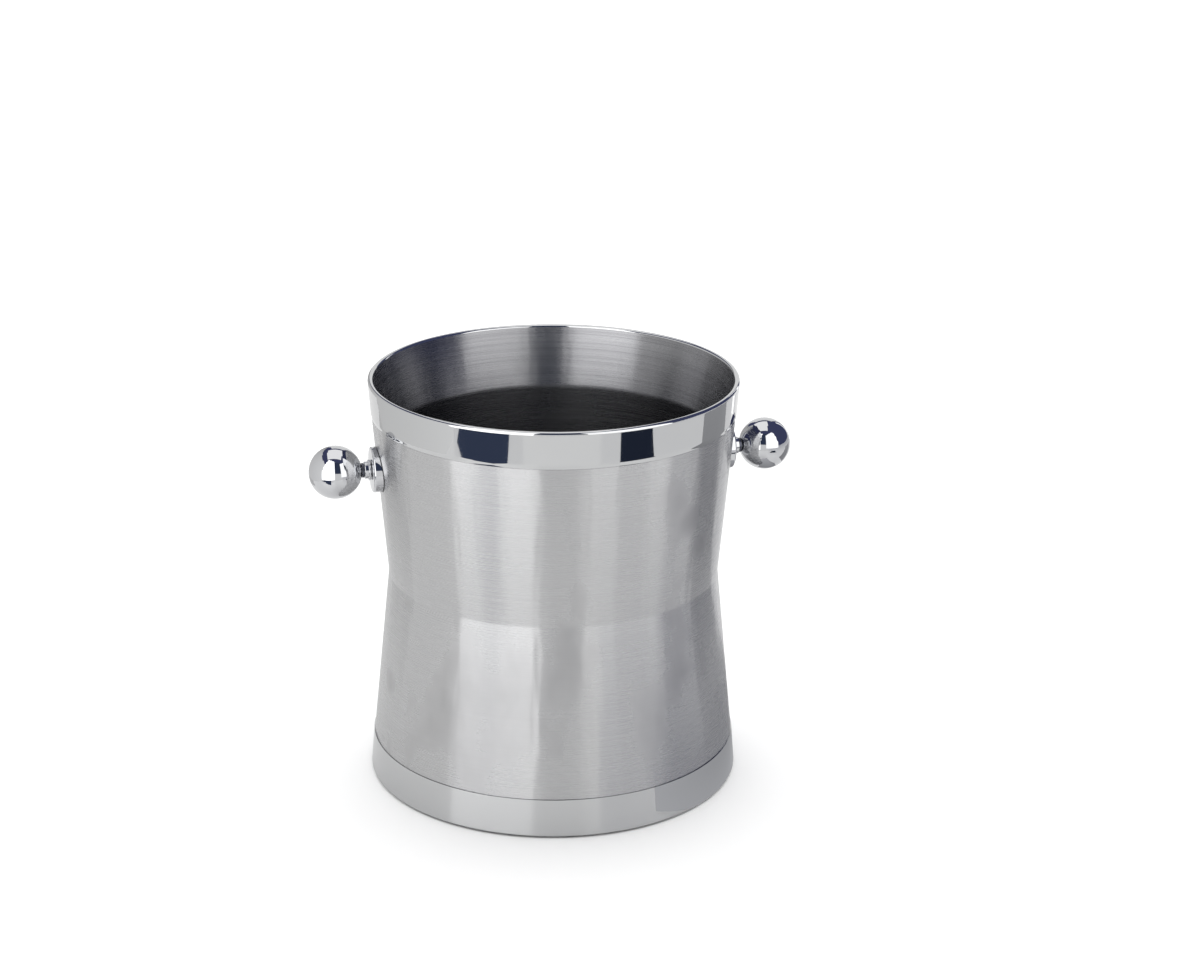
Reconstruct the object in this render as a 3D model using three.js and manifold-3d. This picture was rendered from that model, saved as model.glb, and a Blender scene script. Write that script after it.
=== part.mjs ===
// A double-walled wine and champagne bucket in stainless steel, with two ball knobs.
// Millimetres, +Z up. The origin is the centre of the foot, on the surface the bucket stands on,
// and the two knobs lie on the X axis.
import * as THREE from "three";
import { mergeVertices } from "three/addons/utils/BufferGeometryUtils.js";
import Module from "manifold-3d";

const wasm = await Module();
wasm.setup();

// Driving dimensions of the body.
const RIM_RADIUS = 100; // outside of the lip
const BUCKET_HEIGHT = 225.5;
const WAIST_RADIUS = 90.4;
const WAIST_HEIGHT = 116;
const UPPER_FLARE = 0.0884; // how far the wall leans out for each millimetre above the waist
const LOWER_FLARE = 0.0995; // and for each millimetre below it
const SHEET = 0.7; // gauge of every pressed piece
const GAP = 0.3; // clearance between neighbouring pieces

// The polished band round the rim, and the one round the base.
const RIM_BAND_FOOT = 205.4; // height of the rim band's lower edge
const RIM_BAND_FOOT_RADIUS = 98.7;
const LIP_RADIUS = 1.5; // rolled lip, seen in section
const CURL_HEIGHT = 1.2; // the rim band's foot is rounded in towards the shell
const CURL_DEPTH = 0.25;
const BASE_BAND_HEIGHT = 21.5;
const BASE_BAND_TOP_RADIUS = 100.3;
const BASE_RADIUS = 102;
const BASE_CORNER = 1;
const JOGGLE = 1.2; // height over which the shell steps in behind a band
const SHELL_FOOT = 4; // the shell's hidden ends, behind the two bands
const SHELL_TOP = 221;

// The inner vessel.
const FUNNEL_HEIGHT = 191.5; // where the funnel at the mouth meets the straighter wall
const FUNNEL_RADIUS = 88.9;
const FUNNEL_BEND = 14;
const VESSEL_FLARE = 0.037;
const VESSEL_FLOOR = 12;
const VESSEL_CORNER = 11;

// The underside.
const FOOT_THICKNESS = 0.5;
const FOOT_INNER_RADIUS = 92.5;
const FOOT_OUTER_RADIUS = 100.2;
const BASE_TURN_IN = 1.5; // how far the base band's edge reaches in past the foot
const BASE_RECESS = 4.2;
const BASE_SEAT_RADIUS = 98.8; // outside of the base plate's flat rim
const BASE_SEAT_WIDTH = 7.3;
const BASE_SLOPE = 3; // width of the slope from the flat rim up to the raised middle
const VENT_RADIUS = 2.6;

// A knob, measured along its own axis from the bucket's axis.
const KNOB_HEIGHT = 178.5;
const BALL_CENTRE = 119.2;
const BALL_RADIUS = 14.4;
const BALL_LAND = 13.8; // from the ball's centre to the flat that meets the neck
const THREAD_RADIUS = 2.7;
const BORE_RADIUS = 3;
const FLANGE_RADIUS = 12.4;
const FLANGE_FACE = 100.4;
const NECK_RADIUS = 4;
const NECK_LENGTH = 0.9;
const STEM_RADIUS = 4.7;
const COLLAR_RADIUS = 5.6;
const COLLAR_LENGTH = 1.1;
const SADDLE_RADIUS = 7.5;
const SADDLE_FACE = 93.8;
const SPRING_WASHER_THICKNESS = 1.2;
const SPRING_WASHER_RADIUS = 5.2;
const BOLT_HEAD_HEIGHT = 2.4;
const BOLT_ACROSS_FLATS = 10;
const BOLT_TIP = 117;
const BOLT_CHAMFER = 0.9;
const THREAD_RUNOUT = 1; // how far each blind hole goes past the bolt's tip

const LARGE_SEGMENTS = 48;
const KNOB_SEGMENTS = 24;
const SMALL_SEGMENTS = 16;

const MATERIALS = {
  brushed: { color: 0xb7b7b8, roughness: 0.36, metalness: 1 },
  polished: { color: 0xd6d7d9, roughness: 0.07, metalness: 1 },
  plated: { color: 0x9fa3a8, roughness: 0.45, metalness: 1 },
  rubber: { color: 0x1c1c1e, roughness: 0.85, metalness: 0 },
  silicone: { color: 0xb9bcbd, roughness: 0.6, metalness: 0 },
};

const point = (radius, height) => new THREE.Vector2(radius, height);

// Points of a circular arc, from one angle to another in degrees.
function arc(radius, height, size, from, to, steps) {
  return Array.from({ length: steps + 1 }, (_, i) => {
    const angle = THREE.MathUtils.degToRad(from + ((to - from) * i) / steps);
    return point(radius + size * Math.cos(angle), height + size * Math.sin(angle));
  });
}

// Rounds the corner at b between a and c with a radius, as an arc of points.
function fillet(a, b, c, radius, steps) {
  const back = a.clone().sub(b).normalize();
  const ahead = c.clone().sub(b).normalize();
  const half = Math.acos(THREE.MathUtils.clamp(back.dot(ahead), -1, 1)) / 2;
  const centre = back.clone().add(ahead).normalize().multiplyScalar(radius / Math.sin(half)).add(b);
  const start = back.multiplyScalar(radius / Math.tan(half)).add(b).sub(centre);
  const end = ahead.multiplyScalar(radius / Math.tan(half)).add(b).sub(centre);
  const sweep = Math.atan2(start.cross(end), start.dot(end));
  return Array.from({ length: steps + 1 }, (_, i) =>
    start.clone().rotateAround(point(0, 0), (sweep * i) / steps).add(centre),
  );
}

// The line moved sideways by a distance, to its left as it runs.
function offset(line, distance) {
  return line.map((p, i) => {
    const before = i > 0 ? p.clone().sub(line[i - 1]).normalize() : null;
    const after = i < line.length - 1 ? line[i + 1].clone().sub(p).normalize() : null;
    const a = before ?? after;
    const b = after ?? before;
    const left = point(-a.y - b.y, a.x + b.x).normalize();
    const stretch = 1 / left.dot(point(-a.y, a.x));
    return p.clone().addScaledVector(left, distance * stretch);
  });
}

// The closed section of a pressed sheet whose right-hand face is the line.
const sheet = (line) => [...line, ...offset(line, SHEET).reverse()];

// A body turned about Z. A section that leaves the axis closes on itself.
function turned(section, segments) {
  const first = section[0];
  const last = section[section.length - 1];
  const closed = first.x === 0 && last.x === 0 ? section : [...section, first.clone()];
  return new THREE.LatheGeometry(closed, segments).rotateX(Math.PI / 2);
}

// The same body with its axis along X, for the pieces of a knob: heights are distances along X.
const turnedAlongX = (section, segments) => turned(section, segments).rotateY(Math.PI / 2);

function toSolid(geometry) {
  const bare = geometry.clone();
  bare.deleteAttribute("normal");
  bare.deleteAttribute("uv");
  const merged = mergeVertices(bare, 1e-4);
  return new wasm.Manifold(
    new wasm.Mesh({
      numProp: 3,
      vertProperties: merged.attributes.position.array,
      triVerts: new Uint32Array(merged.index.array),
    }),
  );
}

function toGeometry(solid) {
  const mesh = solid.getMesh();
  const geometry = new THREE.BufferGeometry();
  geometry.setAttribute("position", new THREE.BufferAttribute(mesh.vertProperties, 3));
  geometry.setIndex(new THREE.BufferAttribute(mesh.triVerts, 1));
  geometry.computeVertexNormals();
  return geometry;
}

function mesh(name, geometry, material) {
  const made = new THREE.Mesh(geometry, new THREE.MeshStandardMaterial(MATERIALS[material]));
  made.name = name;
  return made;
}

// Outside radius of the waisted wall, and of each band, at a height.
function wallRadius(height) {
  const rise = height - WAIST_HEIGHT;
  return WAIST_RADIUS + (rise > 0 ? UPPER_FLARE * rise : -LOWER_FLARE * rise);
}

const lipCentre = point(RIM_RADIUS - LIP_RADIUS, BUCKET_HEIGHT - LIP_RADIUS);

function rimBandRadius(height) {
  const share = (height - RIM_BAND_FOOT) / (lipCentre.y - RIM_BAND_FOOT);
  return THREE.MathUtils.lerp(RIM_BAND_FOOT_RADIUS, RIM_RADIUS, share);
}

const baseCornerTop = FOOT_THICKNESS + GAP + BASE_CORNER;

function baseBandRadius(height) {
  const share = (height - baseCornerTop) / (BASE_BAND_HEIGHT - baseCornerTop);
  return THREE.MathUtils.lerp(BASE_RADIUS, BASE_BAND_TOP_RADIUS, share);
}

// The waisted sleeve. It steps in at both ends to sit behind the bands.
function outerShell() {
  const behind = (band, height) => point(band(height) - SHEET - GAP, height);
  const face = [
    behind(baseBandRadius, SHELL_FOOT),
    behind(baseBandRadius, BASE_BAND_HEIGHT - GAP),
    point(wallRadius(BASE_BAND_HEIGHT + JOGGLE), BASE_BAND_HEIGHT + JOGGLE),
    point(WAIST_RADIUS, WAIST_HEIGHT),
    point(wallRadius(RIM_BAND_FOOT - JOGGLE), RIM_BAND_FOOT - JOGGLE),
    behind(rimBandRadius, RIM_BAND_FOOT + GAP),
    behind(rimBandRadius, SHELL_TOP),
  ];
  const sleeve = toSolid(turned(sheet(face), LARGE_SEGMENTS));
  const hole = BORE_RADIUS + GAP;
  const drill = new THREE.CylinderGeometry(hole, hole, 3 * RIM_RADIUS, SMALL_SEGMENTS)
    .rotateZ(Math.PI / 2)
    .translate(0, 0, KNOB_HEIGHT);
  return mesh("outer_shell", toGeometry(sleeve.subtract(toSolid(drill))), "brushed");
}

// The mirror band round the mouth: a foot rounded in, a plain face, and a lip rolled inwards.
function rimBand() {
  const curl = [
    point(RIM_BAND_FOOT_RADIUS - CURL_DEPTH, RIM_BAND_FOOT),
    point(rimBandRadius(RIM_BAND_FOOT + CURL_HEIGHT), RIM_BAND_FOOT + CURL_HEIGHT),
  ];
  const lip = arc(lipCentre.x, lipCentre.y, LIP_RADIUS, 0, 180, 6);
  const tuck = point(lipCentre.x - LIP_RADIUS, lipCentre.y - LIP_RADIUS);
  return mesh("rim_band", turned(sheet([...curl, ...lip, tuck]), LARGE_SEGMENTS), "polished");
}

// Radius of the vessel's inside wall below the funnel.
const vesselRadius = (height) => FUNNEL_RADIUS - VESSEL_FLARE * (FUNNEL_HEIGHT - height);

// The vessel that holds the ice: a funnel at the mouth, a nearly straight wall and a flat floor.
function innerLiner() {
  const mouth = point(lipCentre.x - LIP_RADIUS, lipCentre.y - LIP_RADIUS - GAP);
  const throat = point(FUNNEL_RADIUS, FUNNEL_HEIGHT);
  const corner = point(vesselRadius(VESSEL_FLOOR), VESSEL_FLOOR);
  const centre = point(0, VESSEL_FLOOR);
  const inside = [
    mouth,
    ...fillet(mouth, throat, corner, FUNNEL_BEND, 2),
    ...fillet(throat, corner, centre, VESSEL_CORNER, 4),
    centre,
  ];
  const section = [...offset(inside, SHEET).reverse(), ...inside];
  return mesh("inner_liner", turned(section, LARGE_SEGMENTS), "brushed");
}

// The polished band round the base, turned in underneath to carry the foot.
function baseRing() {
  const bottom = FOOT_THICKNESS + GAP;
  const face = [
    point(FOOT_INNER_RADIUS - BASE_TURN_IN, bottom),
    ...arc(BASE_RADIUS - BASE_CORNER, baseCornerTop, BASE_CORNER, -90, 0, 4),
    point(BASE_BAND_TOP_RADIUS, BASE_BAND_HEIGHT),
  ];
  return mesh("base_ring", turned(sheet(face), LARGE_SEGMENTS), "polished");
}

// The pressed plate that closes the bottom: a raised middle with one stiffening groove and a vent.
function basePlate() {
  const seat = FOOT_THICKNESS + GAP + SHEET + GAP;
  const raised = seat + BASE_RECESS;
  const groove = { start: 38, width: 10, depth: 1.2, side: 3 };
  const grooveEnd = groove.start + groove.width;
  const underside = [
    point(VENT_RADIUS, raised),
    point(groove.start, raised),
    point(groove.start + groove.side, raised - groove.depth),
    point(grooveEnd - groove.side, raised - groove.depth),
    point(grooveEnd, raised),
    point(BASE_SEAT_RADIUS - BASE_SEAT_WIDTH - BASE_SLOPE, raised),
    point(BASE_SEAT_RADIUS - BASE_SEAT_WIDTH, seat),
    point(BASE_SEAT_RADIUS, seat),
  ];
  return mesh("base_plate", turned(sheet(underside), LARGE_SEGMENTS), "brushed");
}

// A silicone plug that seals the vent between the two walls.
function ventPlug() {
  const head = { radius: 4.6, height: 1.6, bevel: 0.7 };
  const barb = { radius: 3.4, height: 2.6, tip: 1.7 };
  const plateFace = FOOT_THICKNESS + GAP + SHEET + GAP + BASE_RECESS;
  const headTop = plateFace - GAP;
  const headFace = headTop - head.height;
  const barbFoot = plateFace + SHEET + GAP;
  const barbTip = barbFoot + barb.height;
  const section = [
    point(0, headFace),
    point(head.radius - head.bevel, headFace),
    point(head.radius, headFace + head.bevel),
    point(head.radius, headTop),
    point(VENT_RADIUS - GAP, headTop),
    point(VENT_RADIUS - GAP, barbFoot),
    point(barb.radius, barbFoot),
    point(barb.tip, barbTip),
    point(0, barbTip),
  ];
  return mesh("vent_plug", turned(section, SMALL_SEGMENTS), "silicone");
}

// The non-slip ring that the bucket stands on.
function footRing() {
  const bevel = 0.3;
  const section = [
    point(FOOT_INNER_RADIUS, 0),
    point(FOOT_OUTER_RADIUS - bevel, 0),
    point(FOOT_OUTER_RADIUS, bevel),
    point(FOOT_OUTER_RADIUS, FOOT_THICKNESS),
    point(FOOT_INNER_RADIUS, FOOT_THICKNESS),
  ];
  return mesh("foot_ring", turned(section, LARGE_SEGMENTS), "rubber");
}

// The body's outside or inside wall near a knob, moved by a gap, as a solid of revolution.
function wallCone(shift) {
  const reach = 20;
  const low = -reach;
  const high = reach;
  const section = [
    point(0, low),
    point(wallRadius(KNOB_HEIGHT + low) + shift, low),
    point(wallRadius(KNOB_HEIGHT + high) + shift, high),
    point(0, high),
  ];
  return toSolid(turned(section, LARGE_SEGMENTS));
}

// The washer section of an annular piece between two places along X.
const washer = (inner, outer, from, to) => [
  point(inner, from),
  point(outer, from),
  point(outer, to),
  point(inner, to),
];

// The escutcheon: a round plate with a soft edge, its back shaped to the wall.
function knobFlange() {
  const soft = 1.2;
  const crown = 0.4;
  const section = [
    point(BORE_RADIUS, SADDLE_FACE),
    point(FLANGE_RADIUS, SADDLE_FACE),
    ...arc(FLANGE_RADIUS - soft, FLANGE_FACE - crown - soft, soft, 0, 90, 4),
    point(COLLAR_RADIUS, FLANGE_FACE),
    point(BORE_RADIUS, FLANGE_FACE),
  ];
  const blank = toSolid(turnedAlongX(section, KNOB_SEGMENTS));
  return toGeometry(blank.subtract(wallCone(GAP)));
}

// The saddle washer inside the wall: curved to it outside, flat for the bolt inside.
function knobSaddle() {
  const section = washer(BORE_RADIUS, SADDLE_RADIUS, SADDLE_FACE, FLANGE_FACE);
  const blank = turnedAlongX(section, SMALL_SEGMENTS);
  return toGeometry(toSolid(blank).intersect(wallCone(-SHEET - GAP)));
}

// The post between the flange and the neck, with a collar at its foot.
function knobStem() {
  const foot = FLANGE_FACE + GAP;
  const end = BALL_CENTRE - BALL_LAND - GAP - NECK_LENGTH - GAP;
  const bevel = 0.4;
  return turnedAlongX(
    [
      point(BORE_RADIUS, foot),
      point(COLLAR_RADIUS, foot),
      point(COLLAR_RADIUS, foot + COLLAR_LENGTH - bevel),
      point(STEM_RADIUS, foot + COLLAR_LENGTH),
      point(STEM_RADIUS, end - bevel),
      point(STEM_RADIUS - bevel, end),
      point(BORE_RADIUS, end),
    ],
    SMALL_SEGMENTS,
  );
}

function knobNeckRing() {
  const end = BALL_CENTRE - BALL_LAND - GAP;
  return turnedAlongX(washer(BORE_RADIUS, NECK_RADIUS, end - NECK_LENGTH, end), SMALL_SEGMENTS);
}

// The ball, with a flat land at the neck and a blind threaded hole.
function knobBall() {
  const land = BALL_CENTRE - BALL_LAND;
  const landAngle = THREE.MathUtils.radToDeg(Math.acos(BALL_LAND / BALL_RADIUS));
  const holeEnd = BOLT_TIP + THREAD_RUNOUT;
  return turnedAlongX(
    [
      point(0, holeEnd),
      point(BORE_RADIUS, holeEnd),
      point(BORE_RADIUS, land),
      ...arc(0, BALL_CENTRE, BALL_RADIUS, -90 + landAngle, 90, 12).slice(0, -1),
      point(0, BALL_CENTRE + BALL_RADIUS),
    ],
    KNOB_SEGMENTS,
  );
}

// A split ring under the bolt's head.
function knobSpringWasher() {
  const halfSplit = 0.8;
  const outer = Math.asin(halfSplit / SPRING_WASHER_RADIUS);
  const inner = Math.asin(halfSplit / BORE_RADIUS);
  const ring = new THREE.Shape();
  ring.absarc(0, 0, SPRING_WASHER_RADIUS, outer, 2 * Math.PI - outer, false);
  ring.absarc(0, 0, BORE_RADIUS, 2 * Math.PI - inner, inner, true);
  ring.closePath();
  const end = SADDLE_FACE - GAP;
  return new THREE.ExtrudeGeometry(ring, {
    depth: SPRING_WASHER_THICKNESS,
    bevelEnabled: false,
    curveSegments: 10,
  })
    .rotateY(Math.PI / 2)
    .translate(end - SPRING_WASHER_THICKNESS, 0, 0);
}

// The bolt that holds the whole knob on, driven from inside the wall.
function knobBolt() {
  const headEnd = SADDLE_FACE - GAP - SPRING_WASHER_THICKNESS - GAP;
  const headStart = headEnd - BOLT_HEAD_HEIGHT;
  const corner = BOLT_ACROSS_FLATS / 2 / Math.cos(Math.PI / 6);
  const head = turnedAlongX(
    [point(0, headStart), point(corner, headStart), point(corner, headEnd), point(0, headEnd)],
    6,
  );
  const middle = (headStart + headEnd) / 2; // the shank starts inside the head
  const shank = turnedAlongX(
    [
      point(0, middle),
      point(THREAD_RADIUS, middle),
      point(THREAD_RADIUS, BOLT_TIP - BOLT_CHAMFER),
      point(THREAD_RADIUS - BOLT_CHAMFER, BOLT_TIP),
      point(0, BOLT_TIP),
    ],
    SMALL_SEGMENTS,
  );
  return toGeometry(toSolid(head).add(toSolid(shank)));
}

// One knob on its side of the bucket. Its axis is level and points straight out from the wall.
function knob(side, turn) {
  const group = new THREE.Group();
  group.position.z = KNOB_HEIGHT;
  group.rotation.z = turn;
  group.add(
    mesh(`${side}_knob_ball`, knobBall(), "polished"),
    mesh(`${side}_knob_neck_ring`, knobNeckRing(), "plated"),
    mesh(`${side}_knob_stem`, knobStem(), "polished"),
    mesh(`${side}_knob_flange`, knobFlange(), "polished"),
    mesh(`${side}_knob_saddle_washer`, knobSaddle(), "plated"),
    mesh(`${side}_knob_spring_washer`, knobSpringWasher(), "plated"),
    mesh(`${side}_knob_bolt`, knobBolt(), "plated"),
  );
  return group;
}

const bucket = new THREE.Group();
bucket.add(
  outerShell(),
  rimBand(),
  innerLiner(),
  baseRing(),
  basePlate(),
  ventPlug(),
  footRing(),
  knob("left", Math.PI),
  knob("right", 0),
);

export default bucket;
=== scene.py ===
"""The looks of a double-walled champagne bucket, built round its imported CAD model.

Meshes are in metres, in the CAD frame: +Z is up, the bucket stands on z = 0 with its axis on the
Z axis, and the two ball knobs lie on the X axis. Sizes in this script are in millimetres. The
camera and the studio are turned a little about Z from the bucket, so their places are given in
the studio's own frame: x to the right, y away from the camera.
"""
import math

import bpy
from mathutils import Matrix, Vector


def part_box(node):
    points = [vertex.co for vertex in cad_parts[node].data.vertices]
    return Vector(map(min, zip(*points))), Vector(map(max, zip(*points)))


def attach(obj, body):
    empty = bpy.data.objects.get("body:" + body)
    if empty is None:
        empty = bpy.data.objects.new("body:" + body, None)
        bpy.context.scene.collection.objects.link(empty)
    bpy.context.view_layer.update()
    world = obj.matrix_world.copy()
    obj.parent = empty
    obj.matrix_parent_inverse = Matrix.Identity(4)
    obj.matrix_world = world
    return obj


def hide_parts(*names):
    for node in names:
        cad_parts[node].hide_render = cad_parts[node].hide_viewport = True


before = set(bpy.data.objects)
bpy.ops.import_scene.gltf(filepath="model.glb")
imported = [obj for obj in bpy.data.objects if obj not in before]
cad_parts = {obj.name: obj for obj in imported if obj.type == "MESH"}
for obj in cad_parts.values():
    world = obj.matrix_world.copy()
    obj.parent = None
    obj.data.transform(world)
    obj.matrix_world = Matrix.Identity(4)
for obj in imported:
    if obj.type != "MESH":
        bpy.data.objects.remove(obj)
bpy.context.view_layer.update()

MM = 0.001

# The body's sections, as the CAD model has them. What a CAD node's box shows is read off the
# box instead.
SHEET = 0.7
GAP = 0.3
WAIST_RADIUS = 90.4
WAIST_HEIGHT = 116.0
UPPER_FLARE = 0.0884
LOWER_FLARE = 0.0995
WAIST_BEND = 9.0
WALL_STEP = 0.2  # the wall steps in behind each band over this height
LIP_RADIUS = 1.5
CURL_HEIGHT = 2.4  # the rim band's foot is rounded in over this height, by this depth
CURL_DEPTH = 0.3
BAND_FOOT_RADIUS = 98.7
BASE_BAND_TOP_RADIUS = 100.3
BASE_CORNER = 1.0
BASE_TURN_IN = 1.5
FUNNEL_HEIGHT = 191.5
FUNNEL_RADIUS = 88.9
FUNNEL_BEND = 14.0
VESSEL_FLARE = 0.037
VESSEL_CORNER = 11.0
FOOT_INNER_RADIUS = 92.5

# The knobs' sections. Each piece of a knob is turned about the knob's own axis.
BORE_RADIUS = 3.0
BALL_LAND = 13.8  # from the ball's centre to the flat that meets the neck
FLANGE_SOFT_EDGE = 1.2
FLANGE_CROWN = 0.4
COLLAR_LENGTH = 1.1
COLLAR_STEP = 0.9  # the post is this much thinner than its collar, in radius
COLLAR_SOFT_EDGE = 0.3
POST_SOFT_EDGE = 0.4

BODY_SEGMENTS = 192
KNOB_SEGMENTS = 96
SMALL_SEGMENTS = 64
CREASE_ANGLE = math.radians(25)
ON_AXIS = 1e-6  # a point nearer the axis than this lies on it

# The studio is turned clockwise from the bucket's frame, seen from above.
STUDIO_TURN = math.radians(-13.436)


def millimetres(node):
    """Lowest and highest corner of a CAD node, in millimetres."""
    low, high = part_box(node)
    return low / MM, high / MM


# ---------------------------------------------------------------------------------------------
# Sections: lists of (radius, height) in millimetres
# ---------------------------------------------------------------------------------------------

def point(radius, height):
    return Vector((radius, height))


def arc(radius, height, size, start, end, steps):
    """Points of a circular arc, from one angle to another in degrees."""
    angles = [math.radians(start + (end - start) * i / steps) for i in range(steps + 1)]
    return [point(radius + size * math.cos(a), height + size * math.sin(a)) for a in angles]


def fillet(a, b, c, radius, steps=8):
    """The corner at b between a and c, rounded to a radius."""
    back, ahead = (a - b).normalized(), (c - b).normalized()
    half = back.angle(ahead) / 2
    centre = b + (back + ahead).normalized() * (radius / math.sin(half))
    start = b + back * (radius / math.tan(half)) - centre
    end = b + ahead * (radius / math.tan(half)) - centre
    sweep = math.atan2(start.x * end.y - start.y * end.x, start.dot(end))
    turns = [Matrix.Rotation(sweep * i / steps, 2) for i in range(steps + 1)]
    return [centre + turn @ start for turn in turns]


def offset(line, distance):
    """The line moved sideways, to its left as it runs."""
    moved = []
    for i, here in enumerate(line):
        before = (here - line[i - 1]).normalized() if i else None
        after = (line[i + 1] - here).normalized() if i < len(line) - 1 else None
        a, b = before or after, after or before
        left = point(-a.y - b.y, a.x + b.x).normalized()
        moved.append(here + left * (distance / left.dot(point(-a.y, a.x))))
    return moved


def wall_radius(height):
    """Outside radius of the waisted wall."""
    rise = height - WAIST_HEIGHT
    return WAIST_RADIUS + (UPPER_FLARE * rise if rise > 0 else -LOWER_FLARE * rise)


def sheet(line):
    """The closed section of a pressed sheet whose right-hand face is the line."""
    return line + offset(line, SHEET)[::-1]


def eased(section, closed, longest=4.0, edge=0.25):
    """The section with points added along its straight stretches and close to its corners, so
    that smooth shading follows the real surface."""
    ends = section[1:] + section[:1] if closed else section[1:]
    result = []
    for a, b in zip(section, ends):
        length = (b - a).length
        result.append(a)
        if length > 4 * edge:
            steps = max(1, math.ceil((length - 2 * edge) / longest))
            stretch = length - 2 * edge
            result += [a.lerp(b, (edge + stretch * i / steps) / length) for i in range(steps + 1)]
    return result if closed else result + [section[-1]]


# ---------------------------------------------------------------------------------------------
# Meshes
# ---------------------------------------------------------------------------------------------

def turned(name, section, segments, place=Matrix.Identity(4)):
    """A closed body turned about Z from a section in millimetres, then moved to its place. A
    section that starts and ends on the axis is left open there, and any other closes on itself."""
    on_axis = section[0].x < ON_AXIS and section[-1].x < ON_AXIS
    outline = eased(section, closed=not on_axis)
    vertices, rings = [], []
    for p in outline:
        if p.x < ON_AXIS:
            rings.append([len(vertices)] * segments)
            vertices.append(Vector((0, 0, p.y)))
            continue
        rings.append([len(vertices) + i for i in range(segments)])
        angles = [2 * math.pi * i / segments for i in range(segments)]
        vertices += [Vector((p.x * math.cos(a), p.x * math.sin(a), p.y)) for a in angles]
    faces = []
    for low, high in zip(rings, rings[1:] if on_axis else rings[1:] + rings[:1]):
        for i in range(segments):
            j = (i + 1) % segments
            corners = [low[i], low[j], high[j], high[i]]
            faces.append(list(dict.fromkeys(corners)))
    mesh = bpy.data.meshes.new(name)
    mesh.from_pydata([place @ (v * MM) for v in vertices], [], faces)
    mesh.shade_smooth()
    mesh.set_sharp_from_angle(angle=CREASE_ANGLE)
    piece = bpy.data.objects.new(name, mesh)
    bpy.context.scene.collection.objects.link(piece)
    return piece


def finish_piece(piece, material, slot, *nodes):
    """Gives a piece its material, sets it riding on the bucket, and hides the CAD nodes that it
    stands for."""
    piece.data.materials.clear()
    piece.data.materials.append(material)
    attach(piece, "root")
    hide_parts(*nodes)


# ---------------------------------------------------------------------------------------------
# Materials
# ---------------------------------------------------------------------------------------------

# Sizes of the surface textures, as the noise's repeats per metre along X, Y and Z.
FINE_LINES = (12, 12, 4200)
COARSE_LINES = (5, 5, 1500)
LONG_STREAKS = (2, 2, 420)
SMUDGES = (14, 14, 9)
SHEET_WAVES = (34, 34, 4)
WIPE_MARKS = (160, 160, 420)
HAZE = (22, 22, 22)
PRESS_WAVES = (17, 17, 30)
PATCHES = (60, 60, 60)

# Depths of the bumps at full strength, in metres.
LINE_DEPTH = 0.00006
SHEET_WAVE_DEPTH = 0.001
PRESS_WAVE_DEPTH = 0.0006
GRAIN_DEPTH = 0.0001


def scaled(colour, factor):
    return tuple(factor * c for c in colour)


class Nodes:
    """A short way to write a material's node tree."""

    def __init__(self, name):
        self.material = bpy.data.materials.new(name)
        self.material.use_nodes = True
        self.tree = self.material.node_tree
        self.shader = self.tree.nodes["Principled BSDF"]
        self.place = self.add("ShaderNodeTexCoord").outputs["Object"]

    def add(self, kind, **values):
        node = self.tree.nodes.new(kind)
        for key, value in values.items():
            setattr(node, key, value)
        return node

    def link(self, output, socket):
        self.tree.links.new(output, socket)

    def noise(self, scale, detail=2.0, roughness=0.5, offset=(0, 0, 0)):
        """Noise over the object's own place in metres, stretched by a scale for each axis."""
        mapping = self.add("ShaderNodeMapping")
        mapping.inputs["Scale"].default_value = scale
        mapping.inputs["Location"].default_value = offset
        noise = self.add("ShaderNodeTexNoise")
        noise.inputs["Scale"].default_value = 1
        noise.inputs["Detail"].default_value = detail
        noise.inputs["Roughness"].default_value = roughness
        self.link(self.place, mapping.inputs["Vector"])
        self.link(mapping.outputs["Vector"], noise.inputs["Vector"])
        return noise.outputs["Fac"]

    def remap(self, value, from_low, from_high, to_low, to_high):
        node = self.add("ShaderNodeMapRange")
        self.link(value, node.inputs["Value"])
        for key, number in zip(("From Min", "From Max", "To Min", "To Max"),
                               (from_low, from_high, to_low, to_high)):
            node.inputs[key].default_value = number
        return node.outputs["Result"]

    def math(self, operation, a, b):
        node = self.add("ShaderNodeMath", operation=operation)
        for socket, value in zip(node.inputs, (a, b)):
            if isinstance(value, (int, float)):
                socket.default_value = value
            else:
                self.link(value, socket)
        return node.outputs["Value"]

    def blend(self, factor, low, high):
        node = self.add("ShaderNodeMix", data_type="RGBA")
        self.link(factor, node.inputs["Factor"])
        for key, colour in ((6, low), (7, high)):
            if isinstance(colour, tuple):
                node.inputs[key].default_value = (*colour, 1)
            else:
                self.link(colour, node.inputs[key])
        return node.outputs[2]

    def mark(self, clouds, bearing, height, size):
        """A cloudy handling mark that fades out from a place on the wall: its bearing from the
        X axis in degrees, and its height and size in millimetres."""
        turn = Matrix.Rotation(math.radians(bearing), 3, "Z")
        spot = turn @ Vector((wall_radius(height), 0, height)) * MM
        away = self.add("ShaderNodeVectorMath", operation="DISTANCE")
        self.link(self.place, away.inputs[0])
        away.inputs[1].default_value = spot
        near = self.remap(away.outputs["Value"], 0.3 * size * MM, size * MM, 1, 0)
        return self.math("MULTIPLY", near, self.remap(clouds, 0.35, 0.6, 0.1, 0.6))

    def bump(self, height, strength, distance, under=None):
        node = self.add("ShaderNodeBump")
        node.inputs["Strength"].default_value = strength
        node.inputs["Distance"].default_value = distance
        self.link(height, node.inputs["Height"])
        if under is not None:
            self.link(under, node.inputs["Normal"])
        return node.outputs["Normal"]

    def set(self, key, value):
        socket = self.shader.inputs[key]
        if isinstance(value, (int, float)):
            socket.default_value = value
        elif isinstance(value, tuple):
            socket.default_value = (*value, 1)
        else:
            self.link(value, socket)


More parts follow.
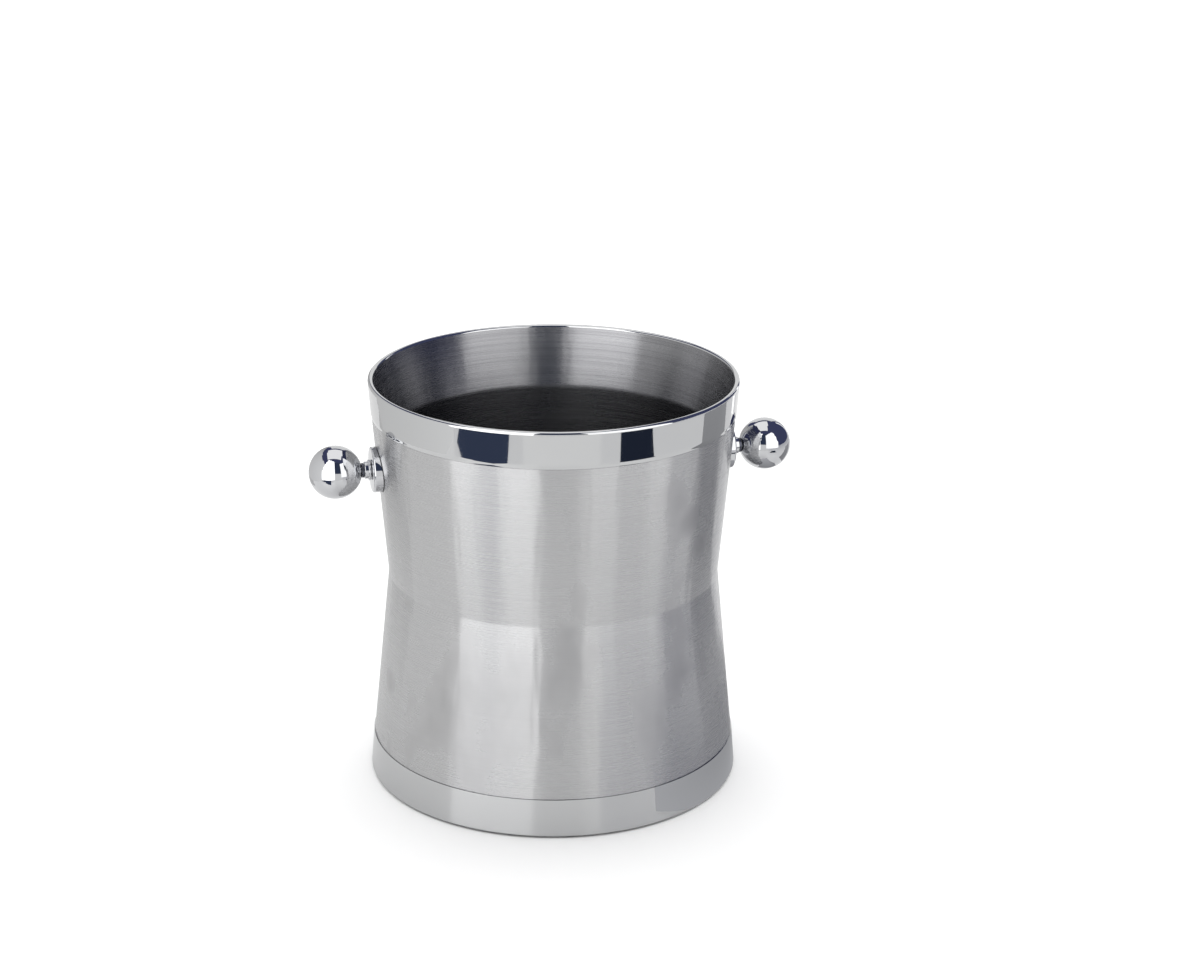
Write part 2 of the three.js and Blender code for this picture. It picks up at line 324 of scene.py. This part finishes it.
def brushed_metal(name, dark, light, roughness, anisotropy, grain, smudge, wave, marks=()):
    """Steel brushed round the body: fine lines across the height, long streaks, faint smudges
    where it was handled, and a slight wave left in the sheet by rolling. Its reflections spread
    up and down, across the lines."""
    n = Nodes(name)
    fine = n.noise(FINE_LINES, detail=3, roughness=0.6)
    coarse = n.noise(COARSE_LINES, detail=4, roughness=0.65)
    streaks = n.noise(LONG_STREAKS, detail=2)
    clouds = n.noise(SMUDGES, detail=4, roughness=0.6, offset=(3, 1, 2))
    lines = n.math("ADD", n.math("MULTIPLY", fine, 0.55), n.math("MULTIPLY", coarse, 0.45))
    tone = n.math("ADD", n.math("MULTIPLY", lines, 0.85), n.math("MULTIPLY", streaks, 0.15))
    smudges = n.remap(clouds, 0.56, 0.74, 0, smudge)
    for mark in marks:
        smudges = n.math("MAXIMUM", smudges, n.mark(clouds, *mark))
    clean = n.blend(n.remap(tone, 0.36, 0.64, 0, 1), dark, light)
    n.set("Base Color", n.blend(smudges, clean, scaled(dark, 0.82)))
    worn = n.remap(lines, 0.35, 0.65, roughness * 0.96, roughness * 1.04)
    n.set("Roughness", n.math("ADD", worn, n.math("MULTIPLY", smudges, 0.09)))
    n.set("Metallic", 1)
    n.set("Anisotropic", anisotropy)
    n.set("Anisotropic Rotation", 0.25)
    tangent = n.add("ShaderNodeTangent", direction_type="RADIAL", axis="Z")
    n.link(tangent.outputs["Tangent"], n.shader.inputs["Tangent"])
    waves = n.noise(SHEET_WAVES, detail=3, offset=(1, 2, 0))
    rolled = n.bump(waves, wave, SHEET_WAVE_DEPTH)
    n.set("Normal", n.bump(lines, grain, LINE_DEPTH, under=rolled))
    return n.material


def polished_metal(name, colour, roughness, ripple, haze=0.03):
    """Mirror-polished steel: a slight ripple left by the press, and a haze of fine wiping marks."""
    n = Nodes(name)
    wipes = n.noise(WIPE_MARKS, detail=5, roughness=0.7)
    haze_patches = n.noise(HAZE, detail=3, offset=(5, 0, 1))
    waves = n.noise(PRESS_WAVES, detail=1, offset=(0, 4, 0))
    n.set("Base Color", n.blend(haze_patches, scaled(colour, 0.95), colour))
    spread = n.math("MULTIPLY", n.remap(wipes, 0.4, 0.75, 0, 1),
                    n.remap(haze_patches, 0.4, 0.7, 0.2, 1))
    n.set("Roughness", n.remap(spread, 0, 1, roughness, roughness + haze))
    n.set("Metallic", 1)
    n.set("Normal", n.bump(waves, ripple, PRESS_WAVE_DEPTH))
    return n.material


def plain_finish(name, colour, roughness, metallic, grain, bump):
    """A fine-grained matt surface: rubber, silicone, or a plated fastener."""
    n = Nodes(name)
    grains = n.noise((grain, grain, grain), detail=4, roughness=0.6)
    patches = n.noise(PATCHES, detail=2)
    n.set("Base Color", n.blend(patches, scaled(colour, 0.8), scaled(colour, 1.1)))
    n.set("Roughness", n.remap(grains, 0.3, 0.7, roughness - 0.08, roughness + 0.08))
    n.set("Metallic", metallic)
    n.set("Normal", n.bump(grains, bump, GRAIN_DEPTH))
    return n.material


# Where the body was handled: bearing in degrees, height and size.
HANDLED = [(-54, 165, 11), (-46, 147, 9), (-170, 62, 9), (-161, 111, 5)]

BRUSHED = brushed_metal("brushed_steel", (0.50, 0.50, 0.505), (0.525, 0.525, 0.53),
                        roughness=0.27, anisotropy=1.0, grain=0.01, smudge=0.7, wave=1.2,
                        marks=HANDLED)
# The liner's steel is much darker than the outer steel: painted shade inside the vessel.
LINER_WITH_PAINTED_SHADE = brushed_metal("liner_steel", (0.22, 0.22, 0.23), (0.36, 0.36, 0.37),
                      roughness=0.27, anisotropy=0.6, grain=0.2, smudge=0.3, wave=0.5)
POLISHED = polished_metal("polished_steel", (0.58, 0.585, 0.59), roughness=0.035, ripple=0.12)
CHROME = polished_metal("chrome", (0.60, 0.605, 0.62), roughness=0.02, ripple=0.01, haze=0.02)
# The neck ring is drawn as a very dark metal band between the stem and the ball.
DARK_NECK_BAND = plain_finish("dark_steel", (0.10, 0.105, 0.13), 0.3, 1, 900, 0.15)
FASTENER = plain_finish("fastener_steel", (0.42, 0.43, 0.45), 0.4, 1, 700, 0.2)
RUBBER = plain_finish("rubber", (0.018, 0.018, 0.02), 0.78, 0, 1500, 0.4)
SILICONE = plain_finish("silicone", (0.42, 0.43, 0.44), 0.55, 0, 900, 0.2)


# ---------------------------------------------------------------------------------------------
# The body
# ---------------------------------------------------------------------------------------------

band_low, band_high = millimetres("rim_band")
base_low, base_high = millimetres("base_ring")
liner_low = millimetres("inner_liner")[0]
shell_low, shell_high = millimetres("outer_shell")
lip = point(band_high.x - LIP_RADIUS, band_high.z - LIP_RADIUS)
base_corner = point(base_high.x - BASE_CORNER, base_low.z + BASE_CORNER)


def rim_radius(height):
    """Outside radius of the rim band's plain face."""
    share = (height - band_low.z) / (lip.y - band_low.z)
    return BAND_FOOT_RADIUS + (band_high.x - BAND_FOOT_RADIUS) * share


def base_radius(height):
    """Outside radius of the base band."""
    share = (height - base_corner.y) / (base_high.z - base_corner.y)
    return base_high.x + (BASE_BAND_TOP_RADIUS - base_high.x) * share


def vessel_radius(height):
    """Inside radius of the vessel below its funnel."""
    return FUNNEL_RADIUS - VESSEL_FLARE * (FUNNEL_HEIGHT - height)


def tangent_point(below):
    """Where a line rising from a point inside the bucket meets the rolled lip without a step."""
    away = below - lip
    turn = math.acos(LIP_RADIUS / away.length)
    return lip + Matrix.Rotation(-turn, 2) @ away.normalized() * LIP_RADIUS


def outer_shell():
    """The waisted sleeve, with its waist bent to a small radius."""
    def behind(radius, height):
        return point(radius(height) - SHEET - GAP, height)

    above_base = base_high.z + WALL_STEP
    below_rim = band_low.z - WALL_STEP
    lower = point(wall_radius(above_base), above_base)
    upper = point(wall_radius(below_rim), below_rim)
    face = [
        behind(base_radius, shell_low.z),
        behind(base_radius, base_high.z - GAP),
        lower,
        *fillet(lower, point(WAIST_RADIUS, WAIST_HEIGHT), upper, WAIST_BEND, 6),
        upper,
        behind(rim_radius, band_low.z + GAP),
        behind(rim_radius, shell_high.z),
    ]
    piece = turned("outer_shell_looks", sheet(face), BODY_SEGMENTS)
    finish_piece(piece, BRUSHED, "brushed_steel", "outer_shell")


def rim_band():
    """The mirror band at the mouth: a foot rounded in, a plain face and a lip rolled inwards."""
    steps = 10
    curl = []
    for i in range(steps + 1):
        height = band_low.z + CURL_HEIGHT * i / steps
        inwards = 0.5 + 0.5 * math.cos(math.pi * i / steps)
        curl.append(point(rim_radius(height) - CURL_DEPTH * inwards, height))
    tuck = point(lip.x - LIP_RADIUS, lip.y - LIP_RADIUS)
    face = [*curl, *arc(lip.x, lip.y, LIP_RADIUS, 0, 180, 16), tuck]
    piece = turned("rim_band_looks", sheet(face), BODY_SEGMENTS)
    finish_piece(piece, POLISHED, "polished_steel", "rim_band")


def inner_liner():
    """The vessel: a funnel at the mouth, a nearly straight wall, and a flat floor."""
    floor = liner_low.z + SHEET
    throat = point(FUNNEL_RADIUS, FUNNEL_HEIGHT)
    mouth = tangent_point(throat)
    corner = point(vessel_radius(floor), floor)
    centre = point(0, floor)
    inside = [
        mouth,
        *fillet(mouth, throat, corner, FUNNEL_BEND),
        *fillet(throat, corner, centre, VESSEL_CORNER, 12),
        centre,
    ]
    piece = turned("inner_liner_looks", offset(inside, SHEET)[::-1] + inside, BODY_SEGMENTS)
    # The liner gets the darker steel, whose colour is painted shade inside the vessel.
    finish_piece(piece, LINER_WITH_PAINTED_SHADE, "liner_steel", "inner_liner")


def base_ring():
    """The mirror band round the base, turned in underneath."""
    face = [
        point(FOOT_INNER_RADIUS - BASE_TURN_IN, base_low.z),
        *arc(base_corner.x, base_corner.y, BASE_CORNER, -90, 0, 10),
        point(BASE_BAND_TOP_RADIUS, base_high.z),
    ]
    piece = turned("base_ring_looks", sheet(face), BODY_SEGMENTS)
    finish_piece(piece, POLISHED, "polished_steel", "base_ring")


outer_shell()
rim_band()
inner_liner()
base_ring()


# ---------------------------------------------------------------------------------------------
# The knobs
# ---------------------------------------------------------------------------------------------

def along_x(side, height):
    """Turns a body about Z into one whose axis points out along X, on its side of the bucket."""
    outward = Matrix.Rotation(math.radians(90), 4, "Y")
    turn = Matrix.Rotation(math.pi if side == "left" else 0, 4, "Z")
    return Matrix.Translation((0, 0, height * MM)) @ turn @ outward


def saddle_back(piece, back, face):
    """Fits a flange to the wall: its face stays, and its back follows the wall's curve."""
    for vertex in piece.data.vertices:
        x, y, z = vertex.co / MM
        wall = math.sqrt((wall_radius(z) + GAP) ** 2 - y ** 2)
        share = (abs(x) - back) / (face - back)
        vertex.co.x = math.copysign(wall + share * (face - wall), x) * MM


def knob(side):
    low, high = millimetres(f"{side}_knob_ball")
    flange_low, flange_high = millimetres(f"{side}_knob_flange")
    stem_low, stem_high = millimetres(f"{side}_knob_stem")
    neck_low, neck_high = millimetres(f"{side}_knob_neck_ring")
    height = (low.z + high.z) / 2
    place = along_x(side, height)
    reach = max(abs(low.x), abs(high.x))
    radius = (high.z - low.z) / 2
    centre = reach - radius

    def near_far(a, b):
        return sorted((abs(a.x), abs(b.x)))

    land = centre - BALL_LAND
    land_angle = math.degrees(math.acos(BALL_LAND / radius))
    sphere = arc(0, centre, radius, -90 + land_angle, 90, 40)
    ball = turned(f"{side}_ball_looks", [point(0, land), *sphere[:-1], point(0, reach)],
                  KNOB_SEGMENTS, place)
    finish_piece(ball, CHROME, "chrome", f"{side}_knob_ball")

    back, face = near_far(flange_low, flange_high)
    edge = (flange_high.z - flange_low.z) / 2
    collar = (stem_high.z - stem_low.z) / 2
    rounded = arc(edge - FLANGE_SOFT_EDGE, face - FLANGE_CROWN - FLANGE_SOFT_EDGE,
                  FLANGE_SOFT_EDGE, 0, 90, 8)
    section = [point(BORE_RADIUS, back), point(edge, back), *rounded,
               point(collar, face), point(BORE_RADIUS, face)]
    flange = turned(f"{side}_flange_looks", section, KNOB_SEGMENTS, place)
    saddle_back(flange, back, face)
    finish_piece(flange, CHROME, "chrome", f"{side}_knob_flange")

    foot, end = near_far(stem_low, stem_high)
    shoulder = foot + COLLAR_LENGTH
    post = collar - COLLAR_STEP
    inset = collar - COLLAR_SOFT_EDGE
    section = [
        point(BORE_RADIUS, foot),
        *arc(inset, foot + COLLAR_SOFT_EDGE, COLLAR_SOFT_EDGE, -90, 0, 4),
        *arc(inset, shoulder - COLLAR_SOFT_EDGE, COLLAR_SOFT_EDGE, 0, 90, 4),
        point(post, shoulder),
        *arc(post - POST_SOFT_EDGE, end - POST_SOFT_EDGE, POST_SOFT_EDGE, 0, 90, 4),
        point(BORE_RADIUS, end),
    ]
    stem = turned(f"{side}_stem_looks", section, SMALL_SEGMENTS, place)
    finish_piece(stem, CHROME, "chrome", f"{side}_knob_stem")

    start, stop = near_far(neck_low, neck_high)
    neck = (neck_high.z - neck_low.z) / 2
    section = [point(BORE_RADIUS, start), point(neck, start), point(neck, stop),
               point(BORE_RADIUS, stop)]
    ring = turned(f"{side}_neck_looks", section, SMALL_SEGMENTS, place)
    # The neck ring is drawn very dark, as the dark line between the stem and the ball.
    finish_piece(ring, DARK_NECK_BAND, "dark_steel", f"{side}_knob_neck_ring")


for side in ("left", "right"):
    knob(side)


# ---------------------------------------------------------------------------------------------
# The CAD nodes that stay: their shapes are right, and they get better materials
# ---------------------------------------------------------------------------------------------

def repaint(node, material):
    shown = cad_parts[node]
    shown.data.materials.clear()
    shown.data.materials.append(material)


# The base plate takes the liner's steel, with its painted shade.
repaint("base_plate", LINER_WITH_PAINTED_SHADE)
repaint("vent_plug", SILICONE)
repaint("foot_ring", RUBBER)
for side in ("left", "right"):
    for part in ("saddle_washer", "spring_washer", "bolt"):
        repaint(f"{side}_knob_{part}", FASTENER)


# ---------------------------------------------------------------------------------------------
# The studio: a white room for the eye, and panels and dark gaps that only the metal mirrors
# ---------------------------------------------------------------------------------------------

def in_studio(x, y, z):
    """A place in the studio's frame, given in millimetres, in the bucket's frame in metres."""
    return Matrix.Rotation(STUDIO_TURN, 3, "Z") @ Vector((x, y, z)) * MM


def plain_light(name, colour):
    """A light whose strength at each corner of its mesh is in the attribute "glow"."""
    material = bpy.data.materials.new(name)
    material.use_nodes = True
    nodes, links = material.node_tree.nodes, material.node_tree.links
    nodes.clear()
    emission = nodes.new("ShaderNodeEmission")
    emission.inputs["Color"].default_value = (*colour, 1)
    glow = nodes.new("ShaderNodeAttribute")
    glow.attribute_name = "glow"
    output = nodes.new("ShaderNodeOutputMaterial")
    links.new(glow.outputs["Fac"], emission.inputs["Strength"])
    links.new(emission.outputs["Emission"], output.inputs["Surface"])
    return material


def panel(name, corners, colour, *strengths):
    """A flat panel between corners in the studio's frame, seen only in reflections. It has one
    strength, or one for each corner."""
    mesh = bpy.data.meshes.new(name)
    mesh.from_pydata([in_studio(*c) for c in corners], [], [range(len(corners))])
    glow = mesh.attributes.new("glow", "FLOAT", "POINT")
    for i, value in enumerate(strengths if len(strengths) > 1 else strengths * len(corners)):
        glow.data[i].value = value
    mesh.materials.append(plain_light(name, colour))
    card = bpy.data.objects.new(name, mesh)
    bpy.context.scene.collection.objects.link(card)
    card.visible_camera = False
    card.visible_diffuse = False
    card.visible_transmission = False
    card.visible_volume_scatter = False
    card.visible_shadow = False
    return card


def upright(name, start, end, bottom, top, colour, near, far=None):
    """An upright panel from one place on the floor plan to another, with its strength at each."""
    corners = [(*start, bottom), (*end, bottom), (*end, top), (*start, top)]
    far = near if far is None else far
    return panel(name, corners, colour, near, far, far, near)


def level(name, plan, height, colour, *strengths):
    """A level panel with its corners at places on the floor plan."""
    return panel(name, [(x, y, height) for x, y in plan], colour, *strengths)


WHITE = (1.0, 1.0, 1.0)
NAVY = (0.27, 0.31, 0.64)
INK = (0.42, 0.56, 1.0)
# SHADE tints the painted shadows of the bucket on the floor.
SHADE = (0.95, 0.96, 1.0)

# Places in the plan: the front softboxes leave a gap for the camera.
LEFT_CORNER = (-470, -290)
GAP_LEFT = (-90, -524)
GAP_RIGHT = (170, -485)
RIGHT_CORNER = (480, -182)
BACK_LEFT = (-470, 1500)
BACK_RIGHT = (700, 1500)

upright("left_wall", BACK_LEFT, LEFT_CORNER, 0, 560, WHITE, 0.30, 0.98)
upright("left_softbox", LEFT_CORNER, GAP_LEFT, 50, 1100, WHITE, 2.6, 2.2)
upright("right_softbox", GAP_RIGHT, RIGHT_CORNER, 130, 820, WHITE, 1.7, 2.0)
upright("front_board", (-165, -560), (300, -560), 0, 290, WHITE, 0.9)
upright("camera_gap", (-300, -700), (500, -700), 290, 1400, INK, 0.10)
upright("window_strip", (405, 480), (370, 508), 0, 500, WHITE, 1.7)
upright("back_wall", BACK_LEFT, BACK_RIGHT, 0, 1400, WHITE, 0.95)
level("overhead", [(-600, -250), (300, -250), (300, 900), (-600, 900)], 1180, WHITE, 1.25)

# Dark patches that lie just above the floor, seen only in reflections: the dark gaps below the
# softboxes, and painted shadows of the bucket on the floor (right_shade, left_shade and
# foot_shade), drawn as dim glowing patches.
PATCH_HEIGHT = 1

level("left_gap", [(-177, -256), (-240, -590), (-500, -420), (-450, -300), (-350, -320),
                   (-270, -268)], PATCH_HEIGHT, INK, 0.11)
level("right_gap", [(268, -330), (418, -212), (540, -340), (398, -480)], PATCH_HEIGHT, INK, 0.045)
level("right_shade", [(300, 10), (900, 225), (900, 700), (240, 200)], PATCH_HEIGHT,
      SHADE, 0.32, 0.5, 0.5, 0.36)
level("left_shade", [(-300, 300), (-900, 700), (-900, 225), (-330, 60)], PATCH_HEIGHT,
      WHITE, 0.65)
level("foot_shade", [(75, -92), (149, -123), (205, 50), (190, 190), (90, 130)], PATCH_HEIGHT,
      SHADE, 0.62, 0.62, 0.36, 0.3, 0.3)

# The floor and the room. The floor is darker in reflections, and the dome that lights it is
# brighter at the back.
FLOOR_REACH = 40  # metres
FLOOR_TONE = 0.9
MIRRORED_FLOOR_TONE = 0.70
MIRRORED_FLOOR_ROUGHNESS = 0.3
DOME_FRONT = 0.5
DOME_BACK = 2.4
SEEN_ROOM = 1.3
MIRRORED_ROOM = 0.24


def floor():
    """A plain pale floor."""
    far = FLOOR_REACH
    mesh = bpy.data.meshes.new("floor")
    mesh.from_pydata([(-far, -far, 0), (far, -far, 0), (far, far, 0), (-far, far, 0)],
                     [], [range(4)])
    n = Nodes("floor")
    material = n.material
    n.set("Base Color", scaled(WHITE, MIRRORED_FLOOR_TONE))
    n.set("Roughness", MIRRORED_FLOOR_ROUGHNESS)
    plain = n.add("ShaderNodeBsdfDiffuse")
    plain.inputs["Color"].default_value = (*scaled(WHITE, FLOOR_TONE), 1)
    mix = n.add("ShaderNodeMixShader")
    n.link(n.add("ShaderNodeLightPath").outputs["Is Glossy Ray"], mix.inputs["Fac"])
    n.link(plain.outputs["BSDF"], mix.inputs[1])
    n.link(n.shader.outputs["BSDF"], mix.inputs[2])
    n.link(mix.outputs["Shader"], n.tree.nodes["Material Output"].inputs["Surface"])
    mesh.materials.append(material)
    plane = bpy.data.objects.new("floor", mesh)
    bpy.context.scene.collection.objects.link(plane)


def sky():
    """A white room for the eye. It lights the floor mostly from behind the bucket, and
    reflections see it as a dim blue room behind the panels."""
    world = bpy.data.worlds.new("studio")
    world.use_nodes = True
    bpy.context.scene.world = world
    nodes, links = world.node_tree.nodes, world.node_tree.links

    def background(colour, strength):
        node = nodes.new("ShaderNodeBackground")
        node.inputs["Color"].default_value = (*colour, 1)
        node.inputs["Strength"].default_value = strength
        return node

    def either(ray, plain, special):
        mix = nodes.new("ShaderNodeMixShader")
        links.new(path.outputs[ray], mix.inputs["Fac"])
        links.new(plain, mix.inputs[1])
        links.new(special, mix.inputs[2])
        return mix.outputs["Shader"]

    path = nodes.new("ShaderNodeLightPath")
    dome = background(WHITE, 1)
    towards_back = nodes.new("ShaderNodeVectorMath")
    towards_back.operation = "DOT_PRODUCT"
    towards_back.inputs[1].default_value = in_studio(0, 1 / MM, 0)
    links.new(nodes.new("ShaderNodeTexCoord").outputs["Generated"], towards_back.inputs[0])
    tilt = nodes.new("ShaderNodeMapRange")
    links.new(towards_back.outputs["Value"], tilt.inputs["Value"])
    tilt.inputs["From Min"].default_value = -1
    tilt.inputs["From Max"].default_value = 1
    tilt.inputs["To Min"].default_value = DOME_FRONT
    tilt.inputs["To Max"].default_value = DOME_BACK
    links.new(tilt.outputs["Result"], dome.inputs["Strength"])
    seen = either("Is Camera Ray", dome.outputs[0], background(WHITE, SEEN_ROOM).outputs[0])
    room = either("Is Glossy Ray", seen, background(NAVY, MIRRORED_ROOM).outputs[0])
    links.new(room, nodes["World Output"].inputs["Surface"])
    world.cycles.sampling_method = "NONE"


floor()
sky()


# ---------------------------------------------------------------------------------------------
# The camera
# ---------------------------------------------------------------------------------------------

SENSOR_WIDTH = 36
FOCAL_LENGTH = 77.98
CAMERA_PLACE = (25.24, -1337.4, 634.8)
CAMERA_DOWN = math.radians(19.33)
CAMERA_ROLL = math.radians(0.5)


def camera():
    """A long lens in front of the bucket, looking down on it."""
    data = bpy.data.cameras.new("camera")
    data.sensor_width = SENSOR_WIDTH
    data.lens = FOCAL_LENGTH
    eye = bpy.data.objects.new("camera", data)
    bpy.context.scene.collection.objects.link(eye)
    look = (
        Matrix.Rotation(STUDIO_TURN, 4, "Z")
        @ Matrix.Rotation(math.radians(90) - CAMERA_DOWN, 4, "X")
        @ Matrix.Rotation(CAMERA_ROLL, 4, "Z")
    )
    eye.matrix_world = Matrix.Translation(in_studio(*CAMERA_PLACE)) @ look
    bpy.context.scene.camera = eye


camera()
bpy.context.scene.view_settings.view_transform = "Standard"
